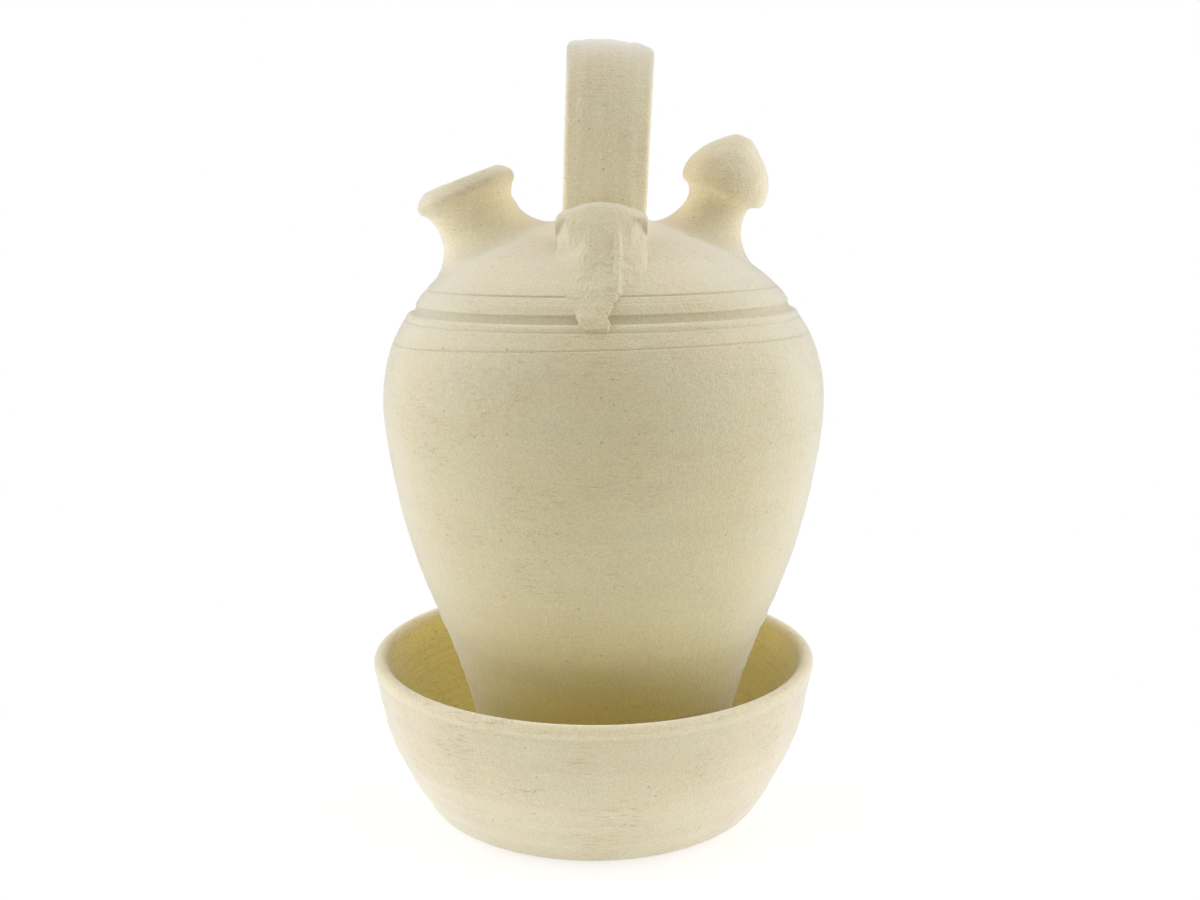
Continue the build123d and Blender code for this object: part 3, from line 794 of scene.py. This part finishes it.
def dish_points(columns):
    """The dish: a flat underside, a bulging wall with finger rings, a rounded lip with a faint groove
    under it, and a smoother hollow with turning rings down to its flat floor. Returns its marks too."""
    turn = turn_angles(columns)
    rings = bpy.context.scene.botijo_sizes.ring_height / MM
    base = np.array([(20.0, 0.0), (45.0, 0.0), (64.0, 0.0), (67.6, 0.12), (69.0, 0.5)])
    wall = along_points(DISH_OUTER, DISH_OUTER_ROWS)
    lip = along_points(DISH_LIP, DISH_LIP_ROWS + 1)[1:]
    inner = along_points(DISH_HOLLOW, DISH_HOLLOW_ROWS + 1)[1:]
    floor = np.array([(44.0, JUG_FOOT), (30.0, JUG_FOOT), (12.0, JUG_FOOT)])
    outline = np.concatenate([base, wall, lip, inner, floor])
    normal = outward(outline)
    along = measured(outline)[:, None]
    level = outline[:, 1:]
    row = np.arange(len(outline))[:, None]
    lip_row = len(base) + DISH_OUTER_ROWS
    hollow_row = lip_row + DISH_LIP_ROWS
    floor_row = hollow_row + DISH_HOLLOW_ROWS
    outer_wall = plateau(row, len(base), len(base) + 6, lip_row - 9, lip_row)
    hollow = plateau(row, hollow_row + 2, hollow_row + 12, floor_row - 40, floor_row)
    off = outer_wall * rings * ripple(along, turn, 15, (17.0, 8.6, 4.9), (0.9, 0.8, 0.3))
    off = off + outer_wall * 0.12 * wander(80 * turn, along, 17, 26.0)
    # The hollow was turned with a rib, which left fine level lines of uneven depth
    fine = (0.5 + 0.5 * np.sin(2 * np.pi * along / 2.7 + 2.1 * np.sin(along / 3.3))) ** 3
    fine = fine * (0.45 + 0.55 * np.sin(along / 4.7 + 0.6) ** 2) * (0.7 + 0.3 * np.sin(2 * turn + along / 9))
    off = off + hollow * (rings * ripple(along, 0 * turn, 16, (11.0, 5.6), (0.8, 0.6)) - 0.07 * fine)
    warp = 0.2 * (np.cos(2 * turn - 0.3) - 1) * eased(level, 5, 61)
    sway = (0.6 * (1 - np.sin(turn)) + 0.12 * np.cos(3 * turn + 0.4)) * eased(level, 25, 61)
    radius = outline[:, :1] + off * normal[:, :1] + warp
    height = level + off * normal[:, 1:] + sway
    # Painted yellow bounce light in the hollow, painted shade in the turning lines, and painted light on the
    # rim
    yellow_bounce_shade = (row >= lip_row + DISH_PLAIN_LIP_ROWS) * (1 - eased(height, 57, 60.5))
    marks = {"yellow_bounce_shade": yellow_bounce_shade, "scored": 0.13 * fine * hollow, "pale": 0.4 * eased(height, 56, 61)}
    return round_axis(radius, turn, height, 0.0), marks


# The table and the light tent


def floor_paper():
    """White studio paper: matt, glowing a little as painted bounce light, and seen by the camera as white,
    with the object's soft shadow kept.
    """
    material = bpy.data.materials.new("White studio paper")
    add = emptied(material)
    place = add("TexCoord").outputs["Object"]
    fibre = add("TexNoise", {"Vector": place, "Scale": 1 / 0.004, "Detail": 2.0})
    tint = add("Mix", {"Factor": fibre, "A": linear("#F1F0EC"), "B": linear("#EFEEEA")}, data_type="RGBA")
    # The cloth between the table and the camera is dark, which keeps the object's front from glaring
    part = add("SeparateXYZ", {"Vector": place})
    near = add("MapRange", {"Value": part.outputs["Y"], "From Min": -0.42, "From Max": -0.14,
                            "To Min": 0.42, "To Max": 1.0}, interpolation_type="SMOOTHSTEP")
    cloth = add("VectorMath", {0: tint, "Scale": near}, operation="SCALE")
    paper = add("BsdfDiffuse", {"Color": cloth})
    # The paper glows a little, least towards the camera: painted bounce light from the table onto the object
    lit = add("Math", {0: near, 1: 0.32}, operation="MULTIPLY")
    lit = add("Emission", {"Color": (1, 1, 1, 1), "Strength": lit})
    table = add("AddShader", {0: paper, 1: lit})
    # The further from the object, the plainer the white, so that no horizon shows
    away = add("VectorMath", {0: place}, operation="LENGTH")
    plain = add("MapRange", {"Value": away, "From Min": 0.10, "From Max": 0.30,
                             "To Min": 0.45, "To Max": 1.0}, interpolation_type="SMOOTHSTEP")
    seen = add("Math", {0: add("LightPath"), 1: plain}, operation="MULTIPLY")
    glow = add("Emission", {"Color": (1, 1, 1, 1), "Strength": 1.0})
    mixed = add("MixShader", {0: seen, 1: table, 2: glow})
    add("OutputMaterial", {"Surface": mixed})
    return material


def white_surroundings(context):
    """Light from all round, brightest from both sides and weak from behind the camera, as in a tent of
    white cloth with a dark opening; the camera itself sees plain white. With the ray's heading x, y, z:
    strength = base + side x^2 + top max(z, 0) - opening max(-y, 0) - back max(y, 0), at least a little."""
    looks = context.scene.botijo_looks
    world = bpy.data.worlds.new("White light tent")
    add = emptied(world)
    x, y, z = add("SeparateXYZ", {"Vector": add("TexCoord").outputs["Generated"]}).outputs
    aside = add("Math", {0: x, 1: x}, operation="MULTIPLY")
    # The sides' cloth is lit by the sky, so its light is a little bluer than the warm rest
    cloth = add("Mix", {"Factor": aside, "A": (1.0, 0.992, 0.972, 1), "B": (0.975, 1.0, 1.075, 1)},
                data_type="RGBA")
    strength = add("Math", {0: aside, 1: looks.tent_side, 2: looks.tent_base}, operation="MULTIPLY_ADD")
    front = add("Math", {0: y, 1: -1.0}, operation="MULTIPLY")
    for part, gain in ((z, looks.tent_top), (front, -looks.tent_opening), (y, -looks.tent_back)):
        part = add("Math", {0: part, 1: 0.0}, operation="MAXIMUM")
        strength = add("Math", {0: part, 1: gain, 2: strength}, operation="MULTIPLY_ADD")
    strength = add("Math", {0: strength, 1: 0.04}, operation="MAXIMUM")
    tent = add("Background", {"Color": cloth, "Strength": strength})
    white = add("Background", {"Color": (1, 1, 1, 1), "Strength": 1.0})
    mixed = add("MixShader", {0: add("LightPath"), 1: tent, 2: white})
    add("OutputWorld", {"Surface": mixed})
    context.scene.world = world


# The add-on


class BotijoSizes(bpy.types.PropertyGroup):
    """Sizes of the surface's relief that a user may change."""

    ring_height: bpy.props.FloatProperty(
        name="Finger ring height", description="How far the potter's finger rings stand off the wall",
        default=0.00008, precision=5, unit="LENGTH")
    line_depth: bpy.props.FloatProperty(
        name="Scored line depth", description="Depth of the lines that are scored round the shoulder",
        default=0.00045, precision=5, unit="LENGTH")
    groove_depth: bpy.props.FloatProperty(
        name="Groove depth", description="Depth of the wide groove round the shoulder",
        default=0.0011, precision=5, unit="LENGTH")


class BotijoLooks(bpy.types.PropertyGroup):
    """Colours of the clay, depths of its grain, and the light tent."""

    clay_light: bpy.props.StringProperty(
        name="Clay", description="Main sRGB colour of the jug", default="#E9E0BE")
    clay_warm: bpy.props.StringProperty(
        name="Warm clay", description="sRGB colour of the jug's warmer blotches", default="#E9DBB4")
    dish_light: bpy.props.StringProperty(
        name="Dish", description="Main sRGB colour of the dish", default="#E7DEBD")
    dish_warm: bpy.props.StringProperty(
        name="Warm dish", description="sRGB colour of the dish's warmer blotches", default="#E7D9B5")
    # Colour of the painted yellow bounce light and shade at the jug's foot and lower belly
    clay_bounce_shade: bpy.props.StringProperty(
        name="Painted bounce shade, jug", description="sRGB colour of the jug's painted yellow bounce light and shade", default="#D0C075")
    # Colour of the painted light on the necks, the strap's feet, the cap and the dish's rim
    clay_painted_light: bpy.props.StringProperty(
        name="Painted light clay", description="sRGB colour of the painted light on necks, strap feet, cap and rim", default="#FFF1C8")
    # Colour of the painted yellow bounce light in the dish's hollow
    dish_bounce_shade: bpy.props.StringProperty(
        name="Painted bounce light, dish", description="sRGB colour of the painted yellow bounce light in the dish's hollow", default="#FFF09B")
    # Also the colour of the painted shade in the lines, the groove, the notches and the strap's crown
    clay_deep: bpy.props.StringProperty(
        name="Deep clay", description="sRGB colour inside pits and scored lines", default="#98804F")
    tent_base: bpy.props.FloatProperty(
        name="Tent", description="Strength of the light from all round", default=0.605)
    tent_side: bpy.props.FloatProperty(
        name="Tent sides", description="Added strength from both sides", default=2.16)
    tent_top: bpy.props.FloatProperty(
        name="Tent top", description="Added strength from overhead", default=0.42)
    tent_opening: bpy.props.FloatProperty(
        name="Tent opening", description="Strength lost towards the camera", default=1.35)
    tent_back: bpy.props.FloatProperty(
        name="Tent back", description="Strength lost from behind", default=0.52)
    streaks: bpy.props.FloatProperty(
        name="Streaks", description="Contrast of the wiping streaks", default=0.022, subtype="FACTOR")
    grain_depth: bpy.props.FloatProperty(
        name="Grain depth", description="Depth of the sandy grain", default=0.00022, precision=5,
        unit="LENGTH")
    streak_depth: bpy.props.FloatProperty(
        name="Streak depth", description="Depth of the wiping streaks", default=0.00008, precision=5,
        unit="LENGTH")


class BOTIJO_OT_dish(bpy.types.Operator):
    """Makes the drip dish"""

    bl_idname = "botijo.dish"
    bl_label = "Drip dish"

    def execute(self, context):
        points, marks = dish_points(366)
        make_piece("thrown_dish", "dish", points, "dish", [(0, 0, 0), (0, 0, JUG_FOOT)], marks)
        return {"FINISHED"}


class BOTIJO_OT_belly(bpy.types.Operator):
    """Makes the lower body of the jug"""

    bl_idname = "botijo.belly"
    bl_label = "Belly"

    def execute(self, context):
        points, marks = make_belly_points(384)
        poles = [(JUG_X, 0, JUG_FOOT), (JUG_X, 0, CHAMBER_FLOOR)]
        make_piece("thrown_belly", "belly", points, "jug", poles, marks)
        return {"FINISHED"}


class BOTIJO_OT_shoulder(bpy.types.Operator):
    """Makes the banded shoulder and dome of the jug, open under its necks"""

    bl_idname = "botijo.shoulder"
    bl_label = "Shoulder"

    def execute(self, context):
        points, marks = make_shoulder_points(384)
        piece = make_piece("thrown_shoulder", "shoulder", points, marks=marks)
        pierce(piece, (MOUTH_SEAT, SPOUT_SEAT))
        return {"FINISHED"}


class BOTIJO_OT_mouth(bpy.types.Operator):
    """Makes the filling mouth"""

    bl_idname = "botijo.mouth"
    bl_label = "Filling mouth"

    def execute(self, context):
        radius, height, turn = neck_points(MOUTH_SEAT, along_points(MOUTH_TOP, 72), 192)
        # The lip sits flatter than the neck leans
        radius, height, turn = askew(radius, height, turn, 3.0, 10.0, 17.0)
        lip = eased(height, 16, 24)
        radius = radius * (1 + 0.010 * np.cos(2 * turn + 0.4) * lip)
        radius = radius + 0.08 * ripple(height, turn, 61, (6.4, 3.4), (0.7, 0.4)) * eased(height, 4, 9)
        height = height + 0.25 * np.cos(2 * turn - 0.8) * lip
        points = placed_neck(MOUTH_SEAT, radius, height, turn)
        # Painted bounce light on the neck under the lip, and a little all over the mouth
        pale = 0.75 * plateau(height, -3, 7, 14, 22) + 0.15
        make_piece("rolled_mouth", "filling_mouth", points, marks={"pale": pale})
        return {"FINISHED"}


class BOTIJO_OT_spout(bpy.types.Operator):
    """Makes the drinking spout with its hollow cap"""

    bl_idname = "botijo.spout"
    bl_label = "Drinking spout"

    def execute(self, context):
        upper = along_points(SPOUT_TOP, 124)
        radius, height, turn = neck_points(SPOUT_SEAT, upper, 176)
        outside = np.arange(len(radius))[:, None] < FOOT_ROWS + 1 + np.argmax(upper[:, 1])
        cap = plateau(height, 15, 22, 37, 43) * outside
        radius = radius * (1 + 0.012 * np.cos(2 * turn + 1.9) * cap)
        radius = radius + 0.16 * wander(14 * turn, height, 71, 9.0) * cap
        # The cap was put on a little askew, leaning further out than its neck
        radius, height, turn = askew(radius, height, turn, 3.4, 13.5, 18.5, 0.9)
        smear = bump(height, 16.2, 2.2) * bump(np.mod(turn, 2 * np.pi), 4.9, 0.55) * outside
        radius = radius + smear * (0.5 + 0.35 * wander(14 * turn, height, 72, 2.6))
        height = height - 0.5 * smear
        points = placed_neck(SPOUT_SEAT, radius, height, turn)
        # Painted bounce light on the neck, and a little less on the cap
        pale = 0.7 * eased(height, -2, 7) * (1 - 0.15 * eased(height, 14, 22))
        make_piece("capped_spout", "drinking_spout", points, marks={"pale": pale})
        return {"FINISHED"}


class BOTIJO_OT_strap(bpy.types.Operator):
    """Makes the arched strap of the handle"""

    bl_idname = "botijo.strap"
    bl_label = "Handle strap"

    def execute(self, context):
        points, across, along = strap_points(112, 300)
        level = points[..., 2]
        # Painted bounce light on the strap's lower legs over the dome, and painted shade on its crown
        pale = np.interp(level, (240, 273, 291), (1.0, 0.5, 0.0))
        marks = {"pale": pale, "scored": 0.17 * eased(level, 286, 301)}
        poles = [points[0].mean(0), points[-1].mean(0)]
        piece = make_piece("pulled_strap", "handle_strap", points, "strap", poles, marks)
        flat = np.stack([across, along], -1).reshape(-1, 2)
        flat = np.concatenate([flat, [[0, 0], [0, along.max()]]]) * MM
        corner = np.zeros(len(piece.data.loops), np.int32)
        piece.data.loops.foreach_get("vertex_index", corner)
        layer = piece.data.uv_layers.new(name="strap")
        layer.data.foreach_set("uv", flat[corner].astype(np.float32).ravel())
        return {"FINISHED"}


class BOTIJO_OT_roots(bpy.types.Operator):
    """Makes the two wads that root the handle"""

    bl_idname = "botijo.roots"
    bl_label = "Handle roots"

    def execute(self, context):
        for name, node, turned in (("pressed_front_root", "handle_front_root", 0),
                                   ("pressed_rear_root", "handle_rear_root", 1)):
            x, ring, level, notch_shade = wad_points(turned)
            top = wad_place(x, ring, level, turned)
            under = wad_place(x[:, ::-1], *under_ring(ring, level), turned)[:, 1:-1]
            points = np.concatenate([top, under], 1)[:, ::-1]
            notch_shade = np.concatenate([notch_shade, np.zeros(under.shape[:2])], 1)[:, ::-1]
            poles = [points[0].mean(0), points[-1].mean(0)]
            # The wads take their painted shade, and a tenth of the painted yellow bounce colour
            make_piece(name, node, points, "jug", poles, {"scored": notch_shade, "yellow_bounce_shade": 0.10})
        return {"FINISHED"}


class BOTIJO_OT_stage(bpy.types.Operator):
    """Makes the pale table, the light tent round it and the camera"""

    bl_idname = "botijo.stage"
    bl_label = "Stage"

    def execute(self, context):
        # A round sheet 18 m across, just under the dish
        ring = round_axis(9000.0, turn_angles(96), -0.2, 0.0)
        floor = add_mesh("floor", ring, [list(range(96))])
        floor.data.materials.append(floor_paper())
        white_surroundings(context)
        # The camera that was fitted to the photo
        camera_data = bpy.data.cameras.new("camera")
        camera_data.lens, camera_data.sensor_width = 38.55, 36.0
        camera = bpy.data.objects.new("camera", camera_data)
        camera.location = (0.0026, -0.515, 0.241)
        camera.rotation_euler = (math.radians(79.4), 0, 0)
        context.scene.collection.objects.link(camera)
        context.scene.camera = camera
        context.scene.view_settings.view_transform = "Standard"
        return {"FINISHED"}


OPERATORS = (BOTIJO_OT_dish, BOTIJO_OT_belly, BOTIJO_OT_shoulder, BOTIJO_OT_mouth, BOTIJO_OT_spout,
             BOTIJO_OT_strap, BOTIJO_OT_roots, BOTIJO_OT_stage)


class BOTIJO_PT_panel(bpy.types.Panel):
    """Sizes, colours and makers of the jug and its dish"""

    bl_label = "Botijo"
    bl_idname = "BOTIJO_PT_panel"
    bl_space_type = "VIEW_3D"
    bl_region_type = "UI"
    bl_category = "Botijo"

    def draw(self, context):
        for group in (context.scene.botijo_sizes, context.scene.botijo_looks):
            for label in group.__annotations__:
                self.layout.prop(group, label)
        for operator in OPERATORS:
            self.layout.operator(operator.bl_idname)


CLASSES = (BotijoSizes, BotijoLooks, *OPERATORS, BOTIJO_PT_panel)


def register():
    for kind in CLASSES:
        bpy.utils.register_class(kind)
    bpy.types.Scene.botijo_sizes = bpy.props.PointerProperty(type=BotijoSizes)
    bpy.types.Scene.botijo_looks = bpy.props.PointerProperty(type=BotijoLooks)


def unregister():
    del bpy.types.Scene.botijo_looks
    del bpy.types.Scene.botijo_sizes
    for kind in reversed(CLASSES):
        bpy.utils.unregister_class(kind)


def main():
    register()
    bpy.ops.botijo.stage()
    bpy.ops.botijo.dish()
    bpy.ops.botijo.belly()
    bpy.ops.botijo.shoulder()
    bpy.ops.botijo.mouth()
    bpy.ops.botijo.spout()
    bpy.ops.botijo.strap()
    bpy.ops.botijo.roots()


if __name__ == "__main__":
    main()
